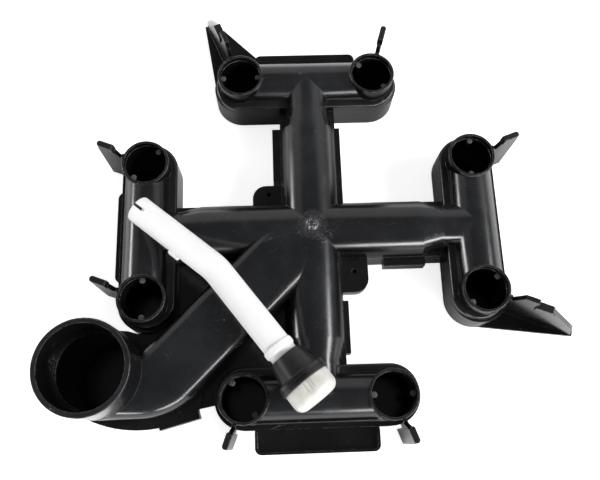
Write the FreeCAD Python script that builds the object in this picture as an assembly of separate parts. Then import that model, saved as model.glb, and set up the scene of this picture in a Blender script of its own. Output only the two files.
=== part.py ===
import FreeCAD, Part
import math
import os

V = FreeCAD.Vector
Z_AXIS = V(0, 0, 1)

# Heights: the flat underside lies on z = 0 and the ports open upwards
RIM_Z = 47.0
PART_Z = 23.0
LEDGE_Z = 33.5
WALL = 2.6

# Ports: two on each crossbar, eight in all
PORT_A = 55.0
PORT_B = 131.5
PORT_R = 16.7
PORT_OUT_R = 18.8
RIM_ROUND = 0.8
STOP_Z = 42.0
STOP_R = 16.45
SLEEVE_Z = 29.0
PEG_R = 2.4
PEG_AT = 14.4
PEG_LOW_Z = 30.0

# Crossbars: a pan below, a step, and a narrower half-round ridge on top
PAN_HALF = 23.0
PAN_IN = 0.8
PAN_EDGE = 1.8
STEP_HALF = 21.15
STEP_IN = 2.65
STEP_ROUND = 2.0
RIDGE_HALF = 18.2
RIDGE_TOP = 46.34

# Arms: wide barrel near the hub, narrower neck under the crossbar
ARM_HALF = 23.2
ARM_TOP = 46.4
ARM_END = 88.0
NECK_HALF = 17.8
NECK_TOP = 46.0
NECK_START = 104.0

# Outlet branch: a flat-topped duct along the diagonal, then the upturned socket
BRANCH_TOP = 46.0
BRANCH_ROUND = 10.0
BRANCH_LEFT = 25.8
BRANCH_RIGHT = 25.5
BRANCH_LOW_Y = -143.0
BRANCH_BEND_R = 60.0
SOCKET_X = -163.0
SOCKET_Y = -109.0
SOCKET_R = 30.15
SOCKET_OUT_R = 34.0
SOCKET_TOP = 82.5
SOCKET_STOP_Z = 46.5
SOCKET_STOP_R = 28.2
SOCKET_ROUND = 1.0

# Fins: an upright blade beside each port, held by a web: port centre, direction and reach
FIN_WEB_T = 3.4
FIN_T = 3.6
FIN_TAB_T = 4.8
FIN_REACH = 38.3
FIN_IN = 25.5
FIN_TOP = 57.0
FIN_TAB_Z = 51.0
TAB_ROUND = 0.8
TAB_END_ROUND = 2.2
FIN_WEB_LOW = 26.0
FINS = [(55.0, 131.5, 73.0, 39.8), (131.5, 55.0, 20.0, 39.2), (-131.5, 55.0, 159.0, 39.0),
        (-131.5, -55.0, 158.5, 39.0), (55.0, -131.5, -70.0, 37.3), (-55.0, -131.5, -110.5, 37.2)]

# Wings: two long fins that run out and down to the level of the underside
WING_T = 3.6
WING_STEP_Z = 48.0
WING_STEP_R = 52.0
WING_JOINT_R = 75.0
WING_KNEE = (78.5, 18.5)
WING_TIP = 84.0
WINGS = [(-55.0, 131.5, 112.0), (131.5, -55.0, -21.6)]
FOOT_T = 3.0

# Pegs: port centre and the direction of the first of two opposite pegs
PEGS = [(-55.0, 131.5, 1.0), (55.0, 131.5, 135.0), (131.5, 55.0, 87.0), (131.5, -55.0, 43.0),
        (-131.5, 55.0, 48.0), (-131.5, -55.0, 90.0), (-55.0, -131.5, 125.0), (55.0, -131.5, 0.0)]

# Ears, plates and blocks along the joint
JOINT_T = 3.0
EAR_T = 10.0
EAR_HOLE_R = 2.0
EAR_HOLE_DEEP = 8.0
EAR_AT = 33.5
EAR_ROUND = 11.0
EAR_FIRST = (47.0, 41.5)
EAR_SECOND = (50.5, 44.5)
PLATE_BOTTOM = (-45.5, 48.0, 171.5)
PLATE_TOP = (-43.5, 43.5, 164.0)
PLATE_LEFT = (-37.5, 38.5, 157.3)
PLATE_ROUND = 5.0
LIP_T = 2.0
LIP_H = 3.0
WEB_Z = 17.0
BLOCK_LOW_Z = 11.0
BLOCKS = [(29.8, 46.0, 92.5, 90), (-27.4, 23.0, 92.5, 90), (-29.6, 57.5, 91.0, 0), (27.4, 57.0, 98.5, 270)]
ELBOW_BLOCK = (31.0, 10.0, -105.3, -142.7, 15.0)

# Breather tube lying across the top, its cap and its strainer
TUBE_R = 10.65
TUBE_BORE = 8.0
TUBE_START = V(-134.1, 12.9, 56.92)
TUBE_BEND = V(-73.8, -37.3, 60.0)
TUBE_TIP = V(-1.8, -133.2, 64.45)
TUBE_BEND_R = 45.0
BEAD_AT = 76.0
BEAD_LEN = 6.0
BEAD_R = 11.7
STUB_END = 93.0
STUB_R = 10.5
SLOT_W = 2.4
SLOT_L = 9.5
CAP_START = 83.3
CAP_SMALL_R = 12.9
CAP_CONE_END = 99.5
CAP_CONE_R = 16.4
CAP_FLANGE_R = 19.1
CAP_GROOVE = (103.2, 104.0)
CAP_GROOVE_R = 18.5
CAP_END = 107.0
CAP_SEAT_R = 17.85
CAP_SEAT = 102.0
CAP_HOLLOW_R = 14.6
STRAINER_R = 17.7
STRAINER_START = 102.0
STRAINER_END = 122.6
STRAINER_T = 1.6
STRAINER_ROUND = 6.8

os.makedirs("parts", exist_ok=True)


def fuse(shapes):
    first = shapes[0]
    return first.multiFuse(shapes[1:]).removeSplitter()


def prism(points, z0, z1):
    wire = Part.makePolygon([V(x, y, z0) for x, y in points] + [V(points[0][0], points[0][1], z0)])
    return Part.Face(wire).extrude(V(0, 0, z1 - z0))


def box(x0, x1, y0, y1, z0, z1):
    return Part.makeBox(x1 - x0, y1 - y0, z1 - z0, V(x0, y0, z0))


def turned(shape, degrees):
    copy = shape.copy()
    copy.rotate(V(0, 0, 0), Z_AXIS, degrees)
    return copy


def four(shape):
    return [turned(shape, 90 * k) for k in range(4)]


def stadium(half_length, half_width, y, z0, z1):
    """Oblong with round ends along x."""
    left = V(-half_length - half_width, y, z0)
    right = V(half_length + half_width, y, z0)
    a = V(-half_length, y - half_width, z0)
    b = V(half_length, y - half_width, z0)
    c = V(half_length, y + half_width, z0)
    d = V(-half_length, y + half_width, z0)
    edges = [Part.makeLine(a, b), Part.Arc(b, right, c).toShape()]
    edges += [Part.makeLine(c, d), Part.Arc(d, left, a).toShape()]
    return Part.Face(Part.Wire(edges)).extrude(V(0, 0, z1 - z0))


def arch(half, top, y):
    """Barrel section across an arm at distance y from the centre."""
    spring = top - half
    a = V(-half, y, PART_Z)
    b = V(-half, y, spring)
    c = V(0, y, top)
    d = V(half, y, spring)
    e = V(half, y, PART_Z)
    edges = [Part.makeLine(a, b), Part.Arc(b, c, d).toShape(), Part.makeLine(d, e), Part.makeLine(e, a)]
    return Part.Wire(edges)


def barrel(inset):
    """Upper half of one arm with its taper and neck, along +y."""
    wide = ARM_HALF - inset
    neck = NECK_HALF - inset
    w0 = arch(wide, ARM_TOP - inset, 0)
    w1 = arch(wide, ARM_TOP - inset, ARM_END)
    n0 = arch(neck, NECK_TOP - inset, NECK_START)
    n1 = arch(neck, NECK_TOP - inset, PORT_B)
    parts = [Part.makeLoft([w0, w1], True, True), Part.makeLoft([w1, n0], True, True)]
    parts.append(Part.makeLoft([n0, n1], True, True))
    return fuse(parts)


def ridge(inset):
    """Half-round top of one crossbar between its two ports."""
    section = Part.Face(arch(RIDGE_HALF - inset, RIDGE_TOP - inset, -PORT_A))
    bar = turned(section.extrude(V(0, 2 * PORT_A, 0)), 90)
    bar.translate(V(0, PORT_B, 0))
    return bar


def edges_at(solid, z):
    """Edges of a solid that lie flat at one height."""
    return [e for e in solid.Edges if abs(e.BoundBox.ZMin - z) < 0.01 and abs(e.BoundBox.ZMax - z) < 0.01]


def step(inset):
    """Lower step of the crossbar, set in towards the hub."""
    top = LEDGE_Z - inset
    solid = stadium(PORT_A, STEP_HALF - inset, PORT_B - STEP_IN, PART_Z, top)
    if inset == 0:
        solid = solid.makeFillet(STEP_ROUND, edges_at(solid, top))
    return solid


def port_cylinders(radius, z0, z1):
    return [Part.makeCylinder(radius, z1 - z0, V(s * PORT_A, PORT_B, z0)) for s in (-1, 1)]


def posts():
    """Outside of the two ports of a crossbar, with a softened rim."""
    return [c.makeFillet(RIM_ROUND, edges_at(c, RIM_Z)) for c in port_cylinders(PORT_OUT_R, PART_Z, RIM_Z)]


def branch(inset, z0, z1):
    """Outlet branch as a block: two straight sides and one bend on the outside of the elbow."""
    left = (BRANCH_LEFT - inset) * math.sqrt(2)
    right = (BRANCH_RIGHT - inset) * math.sqrt(2)
    low = BRANCH_LOW_Y + inset
    r = BRANCH_BEND_R - inset
    turn = math.radians(22.5)
    run = r * math.tan(turn)
    bend_x = low + right - run
    hub, socket = V(0, 0, z0), V(SOCKET_X, SOCKET_Y, z0)
    a, b = V(-left, 0, z0), V(-140, left - 140, z0)
    d, e = V(SOCKET_X, low, z0), V(bend_x, low, z0)
    m = V(bend_x + r * math.sin(turn), low + r - r * math.cos(turn), z0)
    f = V(low + right + run / math.sqrt(2), low + run / math.sqrt(2), z0)
    g = V(0, -right, z0)
    edges = [Part.makeLine(hub, a), Part.makeLine(a, b), Part.makeLine(b, socket), Part.makeLine(socket, d)]
    edges += [Part.makeLine(d, e), Part.Arc(e, m, f).toShape(), Part.makeLine(f, g), Part.makeLine(g, hub)]
    return Part.Face(Part.Wire(edges)).extrude(V(0, 0, z1 - z0))


def branch_sides(solid, z):
    """Edges along the outside walls of the branch, without those inside the hub and the socket."""
    hub, socket = V(0, 0, z), V(SOCKET_X, SOCKET_Y, z)

    def clear(edge):
        return all(v.Point.distanceToPoint(p) > 1 for v in edge.Vertexes for p in (hub, socket))

    return [e for e in edges_at(solid, z) if clear(e)]


def branch_upper(inset):
    solid = branch(inset, PART_Z, BRANCH_TOP - inset)
    return solid.makeFillet(BRANCH_ROUND - inset, branch_sides(solid, BRANCH_TOP - inset))


def branch_lower(inset):
    solid = branch(inset, inset, PART_Z)
    if inset == 0:
        solid = solid.makeChamfer(PAN_EDGE, branch_sides(solid, 0))
    return solid


def socket_post(radius, z0, z1):
    return Part.makeCylinder(radius, z1 - z0, V(SOCKET_X, SOCKET_Y, z0))


def fin_profile(points, x, y, degrees, thick):
    """Upright plate drawn in (distance from the port, height) and turned to its direction."""
    corners = [V(r, -thick / 2, z) for r, z in points]
    wire = Part.makePolygon(corners + corners[:1])
    plate = Part.Face(wire).extrude(V(0, thick, 0))
    plate.rotate(V(0, 0, 0), Z_AXIS, degrees)
    plate.translate(V(x, y, 0))
    return plate


def fin(x, y, degrees, reach):
    web = [(17.8, FIN_WEB_LOW), (17.8, 45.0), (20.5, 45.5), (22.0, 41.5)]
    web += [(FIN_IN, 51.0), (FIN_IN + 2, FIN_WEB_LOW)]
    blade = [(FIN_IN, 0.0), (FIN_IN, FIN_TAB_Z), (reach, FIN_TAB_Z), (reach, 0.0)]
    low = FIN_TAB_Z - 1
    tab = [(FIN_IN, low), (FIN_IN + 0.6, FIN_TOP), (reach, FIN_TOP), (reach, low)]
    plates = [(web, FIN_WEB_T), (blade, FIN_T)]
    solids = [fin_profile(outline, x, y, degrees, thick) for outline, thick in plates]
    bar = fin_profile(tab, x, y, degrees, FIN_TAB_T)
    port = V(x, y, FIN_TOP - 3)
    upright = [e for e in bar.Edges if e.BoundBox.ZLength > 3]
    far = [e for e in upright if e.BoundBox.Center.distanceToPoint(port) > reach - 1]
    bar = bar.makeFillet(TAB_END_ROUND, far)
    solids.append(bar.makeFillet(TAB_ROUND, edges_at(bar, FIN_TOP)))
    return solids


def wing_upper(x, y, degrees):
    """Part of a wing above the joint."""
    web = [(17.6, PART_Z), (17.6, 45.0), (20.5, 45.5), (22.0, 41.5), (FIN_IN - 1, 48.0)]
    web += [(FIN_IN + 2, FIN_TOP), (FIN_REACH, FIN_TOP), (FIN_REACH + 1.8, WING_STEP_Z)]
    web += [(WING_STEP_R, WING_STEP_Z), (WING_JOINT_R, PART_Z)]
    pad = [(FIN_REACH + 1.0, WING_STEP_Z - 7.0), (FIN_REACH + 1.0, WING_STEP_Z), (WING_STEP_R, WING_STEP_Z)]
    pad += [(WING_STEP_R + 4.0, WING_STEP_Z - 7.0)]
    return [fin_profile(web, x, y, degrees, WING_T), fin_profile(pad, x, y, degrees, WING_T + 2.4)]


def wing_lower(x, y, degrees):
    """Part of a wing below the joint."""
    web = [(21.0, 0.0), (21.0, PART_Z), (WING_JOINT_R, PART_Z), WING_KNEE, (WING_TIP, 0.0)]
    return fin_profile(web, x, y, degrees, WING_T)


def feet():
    """Flat feet of the two wings, tangent to the pan."""
    first = [(-77.5, 131.5), (-89.6, 208.5), (-72.0, 203.5), (-22.0, 153.0), (-22.0, 131.5)]
    second = [(131.5, -77.6), (209.4, -87.9), (210.9, -83.4), (150.0, -61.0)]
    return [prism(first, 0, FOOT_T), prism(second, 0, FOOT_T)]


def mirrored(shape):
    """Mirror about the vertical plane that holds the branch, y = x."""
    return shape.mirror(V(0, 0, 0), V(1, -1, 0))


def ear(long, short):
    """D-shaped ear with its blind screw hole in the corner between two arms."""
    x0, x1 = -long, -20.0
    y0, y1 = 20.0, short
    z = PART_Z - EAR_T
    a, b = V(x1, y0, z), V(x0, y0, z)
    c, d = V(x0, y1 - EAR_ROUND, z), V(x0 + EAR_ROUND, y1, z)
    s = EAR_ROUND * (1 - math.sqrt(0.5))
    m, e = V(x0 + s, y1 - s, z), V(x1, y1, z)
    edges = [Part.makeLine(a, b), Part.makeLine(b, c), Part.Arc(c, m, d).toShape()]
    edges += [Part.makeLine(d, e), Part.makeLine(e, a)]
    plate = Part.Face(Part.Wire(edges)).extrude(V(0, 0, EAR_T))
    return plate.cut(Part.makeCylinder(EAR_HOLE_R, 20, V(-EAR_AT, EAR_AT, PART_Z - EAR_HOLE_DEEP)))


def joint_plate(x0, x1, reach, degrees, lip):
    """Plate standing out from the pan at the joint, some with a lip round the free edges."""

    def slab(inset, z0, z1, back):
        solid = box(x0 + inset, x1 - inset, back, reach - inset, z0, z1)
        corners = [e for e in solid.Edges if e.BoundBox.ZLength > 1 and e.BoundBox.YMin > reach - inset - 1]
        return solid.makeFillet(PLATE_ROUND - inset, corners)

    back = PORT_B + PAN_HALF - 4.0
    plate = slab(0, PART_Z - JOINT_T, PART_Z, back)
    if lip:
        rim = slab(0, PART_Z - 1, PART_Z + LIP_H, back + 4.5).cut(slab(LIP_T, PART_Z - 2, PART_Z + 9, back))
        plate = plate.fuse(rim)
    return turned(plate, degrees)


def block(out, near, far, degrees):
    """Long block on the flank of an arm just under the joint."""
    flank = math.copysign(ARM_HALF - 2.0, out)
    y0, y1 = sorted((flank, out))
    return turned(box(near, far, y0, y1, BLOCK_LOW_Z, PART_Z), degrees)


def elbow_block():
    length, width, x, y, degrees = ELBOW_BLOCK
    solid = box(-length / 2, length / 2, -width / 2, width / 2, BLOCK_LOW_Z, PART_Z)
    solid.rotate(V(0, 0, 0), Z_AXIS, degrees)
    solid.translate(V(x, y, 0))
    return solid


def elbow_flange():
    """Crescent of the joint that shows outside the elbow."""
    z = PART_Z - JOINT_T
    a, b, c = V(-180, -138, z), V(-146, -150, z), V(-112, -148, z)
    d, e = V(-90, -139, z), V(-85, -115, z)
    sides = [Part.makeLine(c, d), Part.makeLine(d, e), Part.makeLine(e, a)]
    wire = Part.Wire([Part.Arc(a, b, c).toShape()] + sides)
    return Part.Face(wire).extrude(V(0, 0, JOINT_T))


def plan_arm(inset, z0, z1):
    wide = ARM_HALF - inset
    return box(-wide, wide, 0, PORT_B, z0, z1)


def plan_bar(inset, z0, z1):
    return stadium(PORT_A, PAN_HALF - inset, PORT_B - PAN_IN, z0, z1)


def pan(inset):
    """Lower half of the arms and crossbars, straight walls and a flat floor."""
    body = fuse(four(plan_arm(inset, inset, PART_Z)) + four(plan_bar(inset, inset, PART_Z)))
    if inset == 0:
        low = [e for e in body.Edges if e.BoundBox.ZMax < 0.01]
        body = body.makeChamfer(PAN_EDGE, low)
    return body


def webs():
    """Two flat webs that fill the corners beside the outlet branch."""
    left = [(-30, -12), (-112, -12), (-112, -72), (-138, -78), (-146, -75.6), (-153, -75)]
    left += [(-158, -80), (-163, -100), (-98, -98), (-30, -30)]
    right = [(-12, -30), (-12, -112), (-70, -112), (-76, -134), (-92, -137)]
    right += [(-110, -120), (-98, -98), (-30, -30)]
    return [prism(left, WEB_Z, WEB_Z + JOINT_T), prism(right, WEB_Z, WEB_Z + JOINT_T)]


def lower_shell():
    base = socket_post(SOCKET_OUT_R, 0, PART_Z)
    base = base.makeChamfer(PAN_EDGE, edges_at(base, 0))
    shell = [pan(0), branch_lower(0), base] + webs()
    shell += [ear(*EAR_FIRST), mirrored(ear(*EAR_SECOND))]
    shell.append(joint_plate(*PLATE_BOTTOM, 180, True))
    shell.append(joint_plate(*PLATE_TOP, 0, False))
    shell.append(joint_plate(*PLATE_LEFT, 90, False))
    shell += [block(*spec) for spec in BLOCKS]
    shell += [elbow_block(), elbow_flange()]
    shell += [wing_lower(*spec) for spec in WINGS]
    shell += feet()
    solid = fuse(shell)
    hollow = [pan(WALL), branch_lower(WALL), socket_post(SOCKET_OUT_R - WALL, WALL, PART_Z)]
    return solid.cut(fuse(hollow))


def upper_shell():
    deck = PART_Z + WALL
    bars = [ridge(0), step(0), plan_arm(0, PART_Z, deck), plan_bar(0, PART_Z, deck)] + posts()
    outer = four(barrel(0)) + [s for part in bars for s in four(part)]
    socket = socket_post(SOCKET_OUT_R, PART_Z, SOCKET_TOP)
    outer += [branch_upper(0), socket.makeFillet(SOCKET_ROUND, edges_at(socket, SOCKET_TOP))]
    for spec in FINS:
        outer += fin(*spec)
    for spec in WINGS:
        outer += wing_upper(*spec)
    solid = fuse(outer)
    inner = four(barrel(WALL)) + four(ridge(WALL)) + four(step(WALL))
    inner += [branch_upper(WALL), socket_post(SOCKET_OUT_R - WALL, PART_Z, BRANCH_TOP - WALL)]
    for c in port_cylinders(PORT_R, PART_Z, SLEEVE_Z):
        inner += four(c)
    shell = solid.cut(fuse(inner))
    sleeves = []
    for c in port_cylinders(PORT_OUT_R, SLEEVE_Z, RIM_Z - 2 * RIM_ROUND):
        sleeves += four(c)
    shell = shell.fuse(fuse(sleeves))
    bores = []
    for c in port_cylinders(STOP_R, PART_Z, STOP_Z) + port_cylinders(PORT_R, STOP_Z, RIM_Z + 5):
        bores += four(c)
    bores.append(socket_post(SOCKET_STOP_R, PART_Z, SOCKET_STOP_Z))
    bores.append(socket_post(SOCKET_R, SOCKET_STOP_Z, SOCKET_TOP + 5))
    shell = shell.cut(fuse(bores))
    pegs = []
    for x, y, degrees in PEGS:
        for turn in (0, 180):
            t = math.radians(degrees + turn)
            foot_at = V(x + PEG_AT * math.cos(t), y + PEG_AT * math.sin(t), PEG_LOW_Z)
            pegs.append(Part.makeCylinder(PEG_R, STOP_Z - PEG_LOW_Z, foot_at))
    return shell.fuse(pegs).removeSplitter()


def along(a, b):
    d = b - a
    d.normalize()
    return d


LOWER_DIR = along(TUBE_BEND, TUBE_TIP)


def on_axis(distance):
    return TUBE_BEND + LOWER_DIR * distance


def rod(radius, d0, d1):
    """Cylinder on the lower leg of the tube between two distances from the bend."""
    return Part.makeCylinder(radius, d1 - d0, on_axis(d0), LOWER_DIR)


def bent_rod(radius):
    """Tube body along its upper leg, bend and lower leg."""
    up = along(TUBE_BEND, TUBE_START)
    corner = math.acos(up.dot(LOWER_DIR))
    back = TUBE_BEND_R / math.tan(corner / 2)
    p = TUBE_BEND + up * back
    q = TUBE_BEND + LOWER_DIR * back
    inward = along(V(0, 0, 0), up + LOWER_DIR)
    middle = TUBE_BEND + inward * (TUBE_BEND_R / math.sin(corner / 2) - TUBE_BEND_R)
    legs = [Part.makeLine(TUBE_START, p), Part.Arc(p, middle, q).toShape()]
    legs.append(Part.makeLine(q, on_axis(BEAD_AT)))
    path = Part.Wire(legs)
    ring = Part.Wire(Part.makeCircle(radius, TUBE_START, TUBE_BEND - TUBE_START))
    return path.makePipeShell([ring], True, False)


def breather_tube():
    body = bent_rod(TUBE_R)
    ends = [e for e in body.Edges if e.BoundBox.Center.distanceToPoint(TUBE_START) < 1.0]
    body = body.makeFillet(1.6, ends)
    bead = rod(BEAD_R, BEAD_AT - BEAD_LEN / 2, BEAD_AT + BEAD_LEN / 2)
    bead = bead.makeFillet(1.4, [e for e in bead.Edges if e.Curve.TypeId == "Part::GeomCircle"])
    stub = rod(STUB_R, BEAD_AT - 1, STUB_END)
    up = along(TUBE_BEND, TUBE_START)
    side = along(V(0, 0, 0), Z_AXIS.cross(up))
    lug_at = TUBE_BEND + up * 31.5 + side * TUBE_R
    lug = box(-4.5, 4.5, -3.0, 2.0, -2.6, 2.6)
    lug = lug.makeFillet(1.2, [e for e in lug.Edges if e.BoundBox.ZLength > 4])
    lug.rotate(V(0, 0, 0), Z_AXIS, math.degrees(math.atan2(up.y, up.x)))
    lug.translate(lug_at)
    solid = fuse([body, bead, stub, lug])
    bore = fuse([bent_rod(TUBE_BORE), rod(TUBE_BORE, BEAD_AT - 1, STUB_END + 1)])
    slot = box(-1, SLOT_L, -SLOT_W / 2, SLOT_W / 2, 0, 20)
    slot.rotate(V(0, 0, 0), Z_AXIS, math.degrees(math.atan2(-up.y, -up.x)))
    slot.translate(TUBE_START)
    return solid.cut(bore).cut(slot)


def tube_cap():
    cone = Part.makeCone(CAP_SMALL_R, CAP_CONE_R, CAP_CONE_END - CAP_START, on_axis(CAP_START), LOWER_DIR)
    flange = rod(CAP_FLANGE_R, CAP_CONE_END, CAP_END)
    flange = flange.makeChamfer(0.6, [e for e in flange.Edges if e.Curve.TypeId == "Part::GeomCircle"])
    groove = rod(CAP_FLANGE_R + 1, *CAP_GROOVE).cut(rod(CAP_GROOVE_R, *CAP_GROOVE))
    solid = fuse([cone, flange.cut(groove)])
    solid = solid.cut(rod(STUB_R + 0.05, CAP_START - 1, STUB_END))
    funnel = Part.makeCone(TUBE_BORE, CAP_HOLLOW_R, CAP_SEAT - STUB_END, on_axis(STUB_END), LOWER_DIR)
    solid = solid.cut(funnel)
    return solid.cut(rod(CAP_SEAT_R, CAP_SEAT, CAP_END + 1))


def strainer():
    cup = rod(STRAINER_R, STRAINER_START, STRAINER_END)
    tip = on_axis(STRAINER_END)
    rim = [e for e in cup.Edges if e.BoundBox.Center.distanceToPoint(tip) < 1.0]
    cup = cup.makeFillet(STRAINER_ROUND, rim)
    hollow = rod(STRAINER_R - STRAINER_T, STRAINER_START - 1, STRAINER_END - STRAINER_T)
    end = on_axis(STRAINER_END - STRAINER_T)
    edges = [e for e in hollow.Edges if e.BoundBox.Center.distanceToPoint(end) < 1.0]
    return cup.cut(hollow.makeFillet(STRAINER_ROUND - STRAINER_T, edges))


upper_shell().exportStep("parts/upper_shell.step")
lower_shell().exportStep("parts/lower_shell.step")
breather_tube().exportStep("parts/breather_tube.step")
tube_cap().exportStep("parts/tube_cap.step")
strainer().exportStep("parts/strainer.step")
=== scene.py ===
import math

import bmesh
import bpy
from mathutils import Matrix, Vector


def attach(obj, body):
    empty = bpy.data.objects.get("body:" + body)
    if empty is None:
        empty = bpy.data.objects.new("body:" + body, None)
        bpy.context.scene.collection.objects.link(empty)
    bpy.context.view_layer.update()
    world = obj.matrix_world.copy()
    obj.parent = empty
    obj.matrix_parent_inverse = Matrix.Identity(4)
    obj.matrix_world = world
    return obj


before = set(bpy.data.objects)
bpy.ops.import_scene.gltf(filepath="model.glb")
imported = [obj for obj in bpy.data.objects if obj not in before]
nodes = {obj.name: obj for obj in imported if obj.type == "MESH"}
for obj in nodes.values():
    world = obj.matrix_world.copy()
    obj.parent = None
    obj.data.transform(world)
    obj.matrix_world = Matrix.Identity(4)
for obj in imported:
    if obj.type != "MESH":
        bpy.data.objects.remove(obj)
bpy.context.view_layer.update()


# Lower shell
# The straight-walled tray under the arms and crossbars, with the lower half of the outlet branch.
# One injection moulding in black plastic, with the gloss that the mould leaves, dust on its upward
# faces that is also painted light on the high tops, and worn edges that also carry a painted
# highlight.
class Wire:
    """A shader socket that takes part in sums."""

    def __init__(self, tree, socket):
        self.tree = tree
        self.socket = socket

    def node(self, kind, settings=None, inputs=None, output=0):
        """Any node: its type, its settings, then the values or links of its sockets."""
        made = self.tree.nodes.new(kind)
        for name, setting in (settings or {}).items():
            setattr(made, name, setting)
        for name, given in (inputs or {}).items():
            if isinstance(given, Wire):
                self.tree.links.new(given.socket, made.inputs[name])
            else:
                made.inputs[name].default_value = given
        return Wire(self.tree, made.outputs[output])

    def beside(self, output):
        """Another output of the node that this socket belongs to."""
        return Wire(self.tree, self.socket.node.outputs[output])

    def sum(self, operation, first, second=0.0):
        return self.node("ShaderNodeMath", {"operation": operation}, {0: first, 1: second})

    def __add__(self, other):
        return self.sum("ADD", self, other)

    def __radd__(self, other):
        return self.sum("ADD", other, self)

    def __sub__(self, other):
        return self.sum("SUBTRACT", self, other)

    def __rsub__(self, other):
        return self.sum("SUBTRACT", other, self)

    def __mul__(self, other):
        return self.sum("MULTIPLY", self, other)

    def __rmul__(self, other):
        return self.sum("MULTIPLY", other, self)

    def __truediv__(self, other):
        return self.sum("DIVIDE", self, other)

    def __abs__(self):
        return self.sum("ABSOLUTE", self)

    def smooth(self, low, high):
        """0 below low, 1 above high, eased between. With low over high it falls instead."""
        settings = {"interpolation_type": "SMOOTHSTEP"}
        if low < high:
            inputs = {"Value": self, "From Min": low, "From Max": high}
            return self.node("ShaderNodeMapRange", settings, inputs)
        inputs = {"Value": self, "From Min": high, "From Max": low, "To Min": 1.0, "To Max": 0.0}
        return self.node("ShaderNodeMapRange", settings, inputs)

    def axes(self):
        """The three numbers of this vector."""
        x = self.node("ShaderNodeSeparateXYZ", None, {"Vector": self})
        return x, x.beside(1), x.beside(2)

    def along(self, way):
        """How far this place lies along a direction."""
        return self.node("ShaderNodeVectorMath", {"operation": "DOT_PRODUCT"}, {0: self, 1: way}, 1)

    def away_from(self, spot):
        """How far this place lies from a spot."""
        return self.node("ShaderNodeVectorMath", {"operation": "DISTANCE"}, {0: self, 1: spot}, 1)

    def noise(self, scale, detail=2.0, roughness=0.5):
        """Soft noise over this place, scale in features per metre."""
        inputs = {"Vector": self, "Scale": scale, "Detail": detail, "Roughness": roughness}
        return self.node("ShaderNodeTexNoise", None, inputs)

    def stretched(self, degrees, factors):
        """This place turned about the vertical, then stretched."""
        inputs = {"Vector": self, "Rotation": (0.0, 0.0, math.radians(degrees)), "Scale": factors}
        return self.node("ShaderNodeMapping", {"vector_type": "TEXTURE"}, inputs)

    def colour(self, first, second):
        """A colour between two, by this value. The first may vary too."""
        start = first if isinstance(first, Wire) else (*first, 1.0)
        inputs = {0: self, 6: start, 7: (*second, 1.0)}
        return self.node("ShaderNodeMix", {"data_type": "RGBA"}, inputs, 2)

    def feed(self, shader, name):
        self.tree.links.new(self.socket, shader.inputs[name])

    def emboss(self, shader, normal=None):
        """Gives the shader this height, in metres, as bump."""
        inputs = {"Strength": 1.0, "Distance": 1.0, "Height": self}
        if normal is not None:
            inputs["Normal"] = normal
        self.node("ShaderNodeBump", None, inputs).feed(shader, "Normal")


BLACK = (0.0026, 0.0027, 0.0030)
BLACK_BLOTCH = (0.0050, 0.0052, 0.0058)
# Dust colour, which also serves as painted light on the high tops.
DUST_AND_TOP_LIGHT = (0.0170, 0.0178, 0.0198)
DUST_AND_LIGHT_FACING = (0.50, 0.95)
DUST_AND_LIGHT_HEIGHT = (0.012, 0.044)
# Pale of scratches and rubbing, which also serves as a painted edge highlight.
WORN_AND_HIGHLIGHT_PALE = (0.30, 0.30, 0.31)
EDGE_RUB_AND_LIGHT_WIDTH = 0.0009
EDGE_RUB_AND_LIGHT_SCALE = 260.0
EDGE_RADIUS = 0.0005
HAIR_STRETCH = (9.0, 1.0, 1.0)
HAIR_SCALE = 210.0
HAIR_WIDTH = 0.006
HAIR_PATCH_SCALE = 55.0
NICK_SCALE = 700.0
BLOTCH_SCALE = 34.0
GRAIN_SCALE = 1500.0
GRAIN_HEIGHT = 0.000012
SINK_SCALE = 26.0
SINK_DEPTH = 0.00030
CUT_DEPTH = 0.00004
SHELL_ROUGHNESS = 0.15
SHELL_IOR = 1.53


def finish_of(name):
    """A new material, its shader and the place on the object that its nodes read, in metres."""
    material = bpy.data.materials.new(name)
    material.use_nodes = True
    shader = material.node_tree.nodes["Principled BSDF"]
    place = material.node_tree.nodes.new("ShaderNodeTexCoord")
    return material, shader, Wire(material.node_tree, place.outputs["Object"])


def dress(node, material):
    """Gives a CAD node its finish."""
    nodes[node].data.materials.clear()
    nodes[node].data.materials.append(material)


def soft_edges(place):
    """The normal with sharp edges rounded off, as a mould leaves them."""
    return place.node("ShaderNodeBevel", {"samples": 4}, {"Radius": EDGE_RADIUS})


def rubbed_and_lit_edges(place):
    """Pale patches along the outer edges: partly where handling has rubbed the gloss away, partly a
    painted highlight where the edges catch light.
    """
    settings = {"samples": 6, "inside": True, "only_local": True}
    rim = place.node("ShaderNodeAmbientOcclusion", settings, {"Distance": EDGE_RUB_AND_LIGHT_WIDTH}, 1)
    patches = place.noise(EDGE_RUB_AND_LIGHT_SCALE, detail=3.0, roughness=0.65)
    return rim.smooth(0.92, 0.55) * patches.smooth(0.40, 0.66)


def scratches(place, degrees, sparse, fine):
    """Hair-thin lines, long in one direction, broken up into short lengths."""
    lines = place.stretched(degrees, HAIR_STRETCH).noise(HAIR_SCALE * fine, detail=1.0)
    hair = abs(lines - 0.5).smooth(HAIR_WIDTH * fine, 0.0)
    patches = place.noise((HAIR_PATCH_SCALE + degrees * 0.1) * fine)
    return hair * patches.smooth(sparse, sparse + 0.05)


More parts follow.
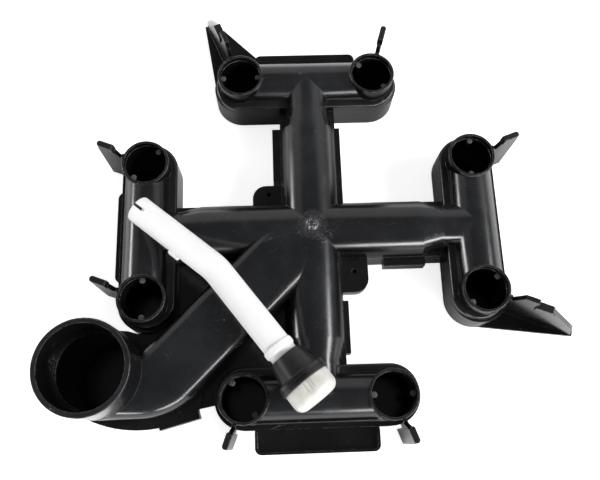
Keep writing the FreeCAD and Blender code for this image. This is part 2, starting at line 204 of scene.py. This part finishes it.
def black_plastic(name, scuffs):
    """Glossy black moulded plastic: grain, sink waves, scratches, rubbed edges with a painted edge
    highlight, dust on top with painted light on the high tops.
    """
    material, shader, place = finish_of(name)
    dull = place.noise(BLOTCH_SCALE, detail=4.0, roughness=0.62).smooth(0.35, 0.75)
    grain = place.noise(GRAIN_SCALE, roughness=0.6)
    waves = place.noise(SINK_SCALE, detail=1.0)
    hair = scratches(place, 20.0, 0.62, 1.0) + scratches(place, 110.0, 0.64, 1.0)
    nicks = place.noise(NICK_SCALE, detail=1.0).smooth(0.79, 0.83)
    cut = hair * 0.25 + nicks * 0.22
    # Painted highlight and worn edges: the outer edges are painted pale, partly as rubbing, partly
    # as light that the edges catch.
    wear_and_edge_highlight = cut + rubbed_and_lit_edges(place) * 0.14
    for scuff in scuffs:
        wear_and_edge_highlight = wear_and_edge_highlight + scuff(place)
    # Painted light and dust: upward faces are painted lighter only high up, on the tops of arms,
    # bars and branch, so the lower faces stay dark as if in shade.
    up = place.beside("Normal").axes()[2]
    tall = place.axes()[2]
    dust_and_top_light = up.smooth(*DUST_AND_LIGHT_FACING) * tall.smooth(*DUST_AND_LIGHT_HEIGHT) * (0.55 + dull * 0.45)
    shade = dust_and_top_light.colour(dull.colour(BLACK, BLACK_BLOTCH), DUST_AND_TOP_LIGHT)
    wear_and_edge_highlight.colour(shade, WORN_AND_HIGHLIGHT_PALE).feed(shader, "Base Color")
    roughness = SHELL_ROUGHNESS + dull * 0.06 + dust_and_top_light * 0.04 + grain * 0.03 + wear_and_edge_highlight * 0.25
    roughness.feed(shader, "Roughness")
    height = grain * GRAIN_HEIGHT + waves * SINK_DEPTH - cut * CUT_DEPTH
    height.emboss(shader, soft_edges(place))
    shader.inputs["IOR"].default_value = SHELL_IOR
    return material


dress("lower_shell", black_plastic("lower_shell_black", ()))


# Upper shell
# The upper halves of the pipes, the eight port sockets, the upright blades and the outlet socket.
# Moulded in the same black plastic as the lower shell and welded to it, scuffed at the crossing.
STAR_SCALE = 2.6
SPOKES_PER_RADIAN = 2.2
BREAKS_PER_METRE = 60.0
STAR_REACH = (0.0085, 0.0050)
PATCH_REACH = (0.0135, 0.0100)
SLIP_REACH = (0.022, 0.016)
SLIP_SIDE = (0.0, -0.007)
SOCKET_SCUFF = (-0.1925, -0.1026, 0.0530)
SOCKET_SCUFF_REACH = (0.011, 0.005)


def hub_scuffs(place):
    """Star of trimming scratches round the middle of the crossing."""
    x, y = place.axes()[:2]
    radius = place.sum("SQRT", x * x + y * y)
    angle = place.sum("ARCTAN2", y, x)
    inputs = {"X": angle * SPOKES_PER_RADIAN, "Y": radius * BREAKS_PER_METRE}
    spokes = place.node("ShaderNodeCombineXYZ", None, inputs).noise(STAR_SCALE, detail=3.0)
    star = abs(spokes - 0.5).smooth(0.05, 0.0) * radius.smooth(*STAR_REACH)
    patch = place.noise(900.0, detail=3.0).smooth(0.30, 0.75) * radius.smooth(*PATCH_REACH)
    hair = scratches(place, 35.0, 0.52, 2.5) + scratches(place, 140.0, 0.54, 2.5)
    slips = y.smooth(*SLIP_SIDE) * radius.smooth(*SLIP_REACH)
    return star * 0.25 + patch * 0.11 + hair * slips * 0.45


def socket_scuffs(place):
    """Short bright scratches low on the wall of the outlet socket, left by the pipe."""
    near = place.away_from(SOCKET_SCUFF).smooth(*SOCKET_SCUFF_REACH)
    lines = scratches(place, 80.0, 0.35, 2.0) + scratches(place, 10.0, 0.45, 2.0)
    return lines * near * 0.35


dress("upper_shell", black_plastic("upper_shell_black", (hub_scuffs, socket_scuffs)))


# Gate mark
# The torn stub on top of the crossing, where the plastic entered the mould and was broken off.
# Part of the same moulding, rough and pale where the plastic tore. Its rings are in millimetres.
MM_PER_METRE = 1000.0
GATE_RINGS = (
    (5.2, -0.60), (4.9, 0.04), (4.5, 0.12), (3.9, 0.10), (3.3, 0.05),
    (2.5, 0.08), (1.9, 0.26), (1.2, 0.34), (0.6, 0.24),
)
GATE_STEPS = 72
CROSSING_TOP = 46.4
TEAR_WAVES = ((5.0, 1.0, 1.0), (11.0, 2.3, 0.7))
TEAR_REACH = 0.035
TEAR_RISE = 0.045
TORN_DARK = (0.022, 0.022, 0.023)
TORN_PALE = (0.36, 0.36, 0.36)
TEAR_DEPTH = 0.00012


def skin(mesh, rings):
    """Faces between one ring of points and the next, and a lid on the last."""
    for outer, inner in zip(rings, rings[1:]):
        for step in range(len(outer)):
            after = (step + 1) % len(outer)
            mesh.faces.new((outer[step], outer[after], inner[after], inner[step]))
    mesh.faces.new(rings[-1])


def smooth_piece(mesh, name):
    """A piece of the scene from a finished mesh, shaded smooth."""
    for face in mesh.faces:
        face.smooth = True
    data = bpy.data.meshes.new(name)
    mesh.to_mesh(data)
    mesh.free()
    piece = bpy.data.objects.new(name, data)
    bpy.context.scene.collection.objects.link(piece)
    return piece


def torn_stub(name):
    """Rings that close in on the axis, each with a ragged edge."""
    mesh = bmesh.new()
    rings = []
    for number, (radius, rise) in enumerate(GATE_RINGS):
        ring = []
        for step in range(GATE_STEPS):
            angle = 2.0 * math.pi * step / GATE_STEPS
            torn = sum(weight * math.sin(count * angle + shift * number)
                       for count, shift, weight in TEAR_WAVES)
            reach = radius * (1.0 + TEAR_REACH * torn)
            level = CROSSING_TOP + rise + (TEAR_RISE * torn if rise > 0.0 else 0.0)
            spot = Vector((reach * math.cos(angle), reach * math.sin(angle), level))
            ring.append(mesh.verts.new(spot / MM_PER_METRE))
        rings.append(ring)
    skin(mesh, rings)
    return smooth_piece(mesh, name)


def torn_plastic(name):
    """Black plastic, whitened in streaks where it was pulled apart."""
    material, shader, place = finish_of(name)
    streaks = place.noise(650.0, detail=3.0, roughness=0.6)
    pale = streaks.smooth(0.51, 0.58)
    pale.colour(TORN_DARK, TORN_PALE).feed(shader, "Base Color")
    (0.34 + pale * 0.3).feed(shader, "Roughness")
    (streaks * TEAR_DEPTH).emboss(shader)
    shader.inputs["IOR"].default_value = SHELL_IOR
    return material


gate_mark = torn_stub("gate_mark")
gate_mark.data.materials.append(torn_plastic("gate_torn"))
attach(gate_mark, "root")


# Peg tips
# The blunt ends of the two pegs that stand in each port and stop the spigot of a filter grid.
# Moulded with the upper shell in black plastic; their ends are painted grey as a painted highlight,
# rough and uneven.
PEGS = (
    (-55.0, 131.5, 1.0), (55.0, 131.5, 135.0), (131.5, 55.0, 87.0), (131.5, -55.0, 43.0),
    (-131.5, 55.0, 48.0), (-131.5, -55.0, 90.0), (-55.0, -131.5, 125.0), (55.0, -131.5, 0.0),
)
PEG_FROM_AXIS = 14.4
PEG_TOP = 42.0
TIP_RINGS = ((2.28, -0.40), (2.28, 0.05), (2.18, 0.22), (1.90, 0.32), (1.20, 0.36), (0.50, 0.33))
TIP_STEPS = 28
# Greys of the painted highlight on the peg ends.
TIP_HIGHLIGHT_DIM = (0.045, 0.045, 0.047)
TIP_HIGHLIGHT_BRIGHT = (0.115, 0.115, 0.118)
TIP_ROUGH = 0.00008


def add_tip(mesh, x, y):
    """One blunt end, from rings that close in on the peg's axis."""
    turns = [2.0 * math.pi * step / TIP_STEPS for step in range(TIP_STEPS)]
    rings = []
    for radius, rise in TIP_RINGS:
        spots = [Vector((x + radius * math.cos(turn), y + radius * math.sin(turn), PEG_TOP + rise))
                 for turn in turns]
        rings.append([mesh.verts.new(spot / MM_PER_METRE) for spot in spots])
    skin(mesh, rings)


def tip_painted_highlight(name):
    """Black plastic painted grey on the peg ends: a painted highlight, rough and uneven."""
    material, shader, place = finish_of(name)
    tip_patches = place.noise(900.0, detail=3.0, roughness=0.6)
    # Painted highlight: the ends are grey, a stand-in for the light that they catch.
    tip_patches.smooth(0.35, 0.65).colour(TIP_HIGHLIGHT_DIM, TIP_HIGHLIGHT_BRIGHT).feed(shader, "Base Color")
    (0.42 + tip_patches * 0.2).feed(shader, "Roughness")
    (tip_patches * TIP_ROUGH).emboss(shader)
    return material


tips = bmesh.new()
for port_x, port_y, degrees in PEGS:
    for side in (1.0, -1.0):
        out_x = side * PEG_FROM_AXIS * math.cos(math.radians(degrees))
        out_y = side * PEG_FROM_AXIS * math.sin(math.radians(degrees))
        add_tip(tips, port_x + out_x, port_y + out_y)
peg_tips = smooth_piece(tips, "peg_tips")
peg_tips.data.materials.append(tip_painted_highlight("peg_painted_highlight"))
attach(peg_tips, "root")


# Breather tube
# A bent length of white rigid tube that lies loose across the arms, slotted at its open end.
# Extruded in white plastic and bent warm, so its surface is smooth and only faintly uneven.
TUBE_WHITE = (0.92, 0.92, 0.915)
TUBE_SOILED = (0.86, 0.86, 0.85)


def white_tube(name):
    """Satin white plastic with faint clouds and a few specks of dirt."""
    material, shader, place = finish_of(name)
    cloud = place.noise(60.0, detail=3.0)
    grain = place.noise(1200.0)
    specks = place.noise(330.0, detail=1.0).smooth(0.78, 0.84)
    soil = (cloud * 0.6 + specks).smooth(0.1, 1.0)
    soil.colour(TUBE_WHITE, TUBE_SOILED).feed(shader, "Base Color")
    (0.36 + grain * 0.10).feed(shader, "Roughness")
    (grain * 0.00002 + cloud * 0.0001).emboss(shader)
    return material


dress("breather_tube", white_tube("tube_white"))


# Tube cap
# The black funnel-shaped adapter pushed on the end of the tube, with a flange for the strainer.
# Moulded in black plastic, duller than the shells.
CAP_AXIS = (0.6001, -0.7992, 0.0371)
CAP_BLACK = (0.0045, 0.0045, 0.0045)
CAP_BLOOM = (0.0105, 0.0105, 0.0102)
TURNED_DEPTH = 0.00016


def dull_black(name):
    """Dull black plastic with fine turned lines round the funnel and a bloom of dust."""
    material, shader, place = finish_of(name)
    ring = place.node("ShaderNodeCombineXYZ", None, {"X": place.along(CAP_AXIS)})
    lines = ring.noise(1900.0)
    grain = place.noise(1400.0, roughness=0.6)
    bloom = place.noise(140.0, detail=4.0, roughness=0.65).smooth(0.40, 0.75)
    bloom.colour(CAP_BLACK, CAP_BLOOM).feed(shader, "Base Color")
    (0.33 + bloom * 0.12 + grain * 0.06).feed(shader, "Roughness")
    (lines * TURNED_DEPTH + grain * 0.00002).emboss(shader, soft_edges(place))
    return material


dress("tube_cap", dull_black("cap_black"))


# Strainer
# A cup of cloudy white plastic, moulded with fine slots between ribs, through which light shows.
# It is pushed into the flange of the cap. Slots are placed along and around the cap's axis.
CAP_FOOT = (-0.0738, -0.0373, 0.0600)
CAP_ACROSS = (0.7997, 0.6004, 0.0)
CAP_UP = (-0.0223, 0.0297, 0.9993)
SLOT_START = (0.1067, 0.1075)
SLOT_END = (0.1155, 0.1140)
SLOT_TURNS = (84.0, 91.0, 101.0)
SLOT_WIDTH = (0.028, 0.010)
SLOT_DEPTH = 0.0003
CUP_CLEAR = (0.74, 0.73, 0.69)
CUP_CLOUDED = (0.60, 0.59, 0.54)
# Brownish dark of the painted shade in the slots.
SLOT_PAINTED_SHADE = (0.30, 0.26, 0.20)


def slot_lines(place):
    """Three slots side by side along the top of the cup, painted brownish dark as the shade inside
    them.
    """
    foot = place.node("ShaderNodeVectorMath", {"operation": "SUBTRACT"}, {0: place, 1: CAP_FOOT})
    reach = foot.along(CAP_AXIS)
    angle = foot.sum("ARCTAN2", foot.along(CAP_UP), foot.along(CAP_ACROSS))
    lines = sum(abs(angle - math.radians(turn)).smooth(*SLOT_WIDTH) for turn in SLOT_TURNS)
    return lines * reach.smooth(*SLOT_START) * reach.smooth(*SLOT_END)


def cloudy_plastic(name):
    """Milky plastic that scatters light a few millimetres deep."""
    material, shader, place = finish_of(name)
    cloud = place.noise(120.0, detail=3.0)
    grain = place.noise(1600.0)
    slots = slot_lines(place)
    body = cloud.smooth(0.3, 0.7).colour(CUP_CLEAR, CUP_CLOUDED)
    # Painted shade: the slots are darkened brown, standing in for the dark seen inside them.
    (slots * 0.5).colour(body, SLOT_PAINTED_SHADE).feed(shader, "Base Color")
    (0.34 + grain * 0.16).feed(shader, "Roughness")
    (grain * 0.00002 + cloud * 0.0002 - slots * SLOT_DEPTH).emboss(shader)
    shader.inputs["Subsurface Weight"].default_value = 0.35
    shader.inputs["Subsurface Radius"].default_value = (0.004, 0.004, 0.0035)
    shader.inputs["Subsurface Scale"].default_value = 1.0
    return material


dress("strainer", cloudy_plastic("strainer_cloudy"))


# Floor
# A plain white table top under the part, painted matt.
# It glows where the eye or a mirror sees it, so that it stays white and keeps a soft shadow.
TABLE_SIZE = 8.0
TABLE_PAINT = (0.86, 0.86, 0.86, 1.0)
TABLE_GLOW = 0.78
GLOW_FROM_MIDDLE = (0.15, 0.26)


def white_rays(wire, spread):
    """1 for what the eye sees straight on, and spread for what is seen mirrored or through."""
    straight = wire.node("ShaderNodeLightPath", output="Is Camera Ray")
    mirrored = straight.beside("Is Glossy Ray") + straight.beside("Is Transmission Ray")
    return straight + mirrored * spread


bpy.ops.mesh.primitive_plane_add(size=TABLE_SIZE, location=(0.0, 0.0, 0.0))
floor = bpy.context.active_object
floor.name = "table_top"
material, shader, place = finish_of("table_white")
clear = place.away_from((0.0, 0.0, 0.0)).smooth(*GLOW_FROM_MIDDLE)
glow = white_rays(place, clear).smooth(0.0, 1.0) * TABLE_GLOW
light = place.node("ShaderNodeEmission", None, {"Color": glow, "Strength": 1.0})
paint = place.node("ShaderNodeBsdfDiffuse", None, {"Color": TABLE_PAINT})
both = place.node("ShaderNodeAddShader", None, {0: light, 1: paint})
both.feed(place.tree.nodes["Material Output"], "Surface")
place.tree.nodes.remove(shader)
floor.data.materials.append(material)


# Studio light
# Slim soft boxes around the table and a pale wall behind it, in a dim room, so that flat tops
# stay black and round flanks catch thin lines. The backdrop behind the table is plain white.
HORIZON = (7.0, 1.0)
HORIZON_LIGHT = 0.70
CEILING = (45.0, 65.0)
CEILING_LIGHT = 0.06
ROOM_LIGHT = 0.045

# Azimuth, half width, lowest and highest elevation and soft edge in degrees, then strength.
BOXES = {
    "right": (-8.0, 18.0, 30.0, 39.0, 3.0, 19.0),
    "front": (-71.0, 11.0, 12.0, 20.0, 2.0, 20.0),
    "bench": (-43.0, 13.0, 25.0, 33.0, 2.0, 15.0),
    "corner": (-107.0, 6.0, 11.0, 19.0, 2.0, 17.0),
    "left": (170.0, 7.0, 11.0, 18.0, 3.5, 17.0),
    "wall": (90.0, 52.0, 0.0, 42.0, 16.0, 0.75),
}

world = bpy.data.worlds.new("studio")
bpy.context.scene.world = world
world.use_nodes = True
sky = world.node_tree.nodes.new("ShaderNodeTexCoord")
way = Wire(world.node_tree, sky.outputs["Generated"])
east, north, height = way.axes()
level = way.sum("SQRT", east * east + north * north)
rise = way.sum("ARCSINE", height) * math.degrees(1.0)
low_band = rise.smooth(*HORIZON)
tone = low_band * HORIZON_LIGHT + rise.smooth(*CEILING) * CEILING_LIGHT + ROOM_LIGHT
for turn, half, low, high, soft, strength in BOXES.values():
    turned = (east * math.cos(math.radians(turn)) + north * math.sin(math.radians(turn))) / level
    across = turned.smooth(math.cos(math.radians(half + 2.0 * soft)), math.cos(math.radians(half)))
    upright = rise.smooth(low - soft, low) * rise.smooth(high + soft, high)
    tone = tone + across * upright * strength
white = way.sum("MINIMUM", white_rays(way, low_band), 1.0)
background = world.node_tree.nodes["Background"]
(tone * (1 - white) + white).feed(background, "Color")
background.inputs["Strength"].default_value = 1.0
bpy.context.scene.view_settings.view_transform = "Standard"


# Camera
# Almost straight above the table, a little towards the outlet side, as the photograph was taken.
# Its place and focal length were fitted to the rims of the eight ports.
SENSOR_WIDTH = 36.0
IMAGE_WIDTH = 600.0
FOCAL_PIXELS = 673.46

lens = bpy.data.cameras.new("camera")
lens.sensor_fit = "HORIZONTAL"
lens.sensor_width = SENSOR_WIDTH
lens.lens = SENSOR_WIDTH * FOCAL_PIXELS / IMAGE_WIDTH
lens.clip_start = 0.01
camera = bpy.data.objects.new("camera", lens)
bpy.context.scene.collection.objects.link(camera)
camera.matrix_world = Matrix((
    (0.99928547, 0.02702538, -0.02642288, -0.02373),
    (-0.03341102, 0.95846374, -0.28325070, -0.16082),
    (0.01767041, 0.28393113, 0.95868184, 0.54690),
    (0.0, 0.0, 0.0, 1.0),
))
bpy.context.scene.camera = camera
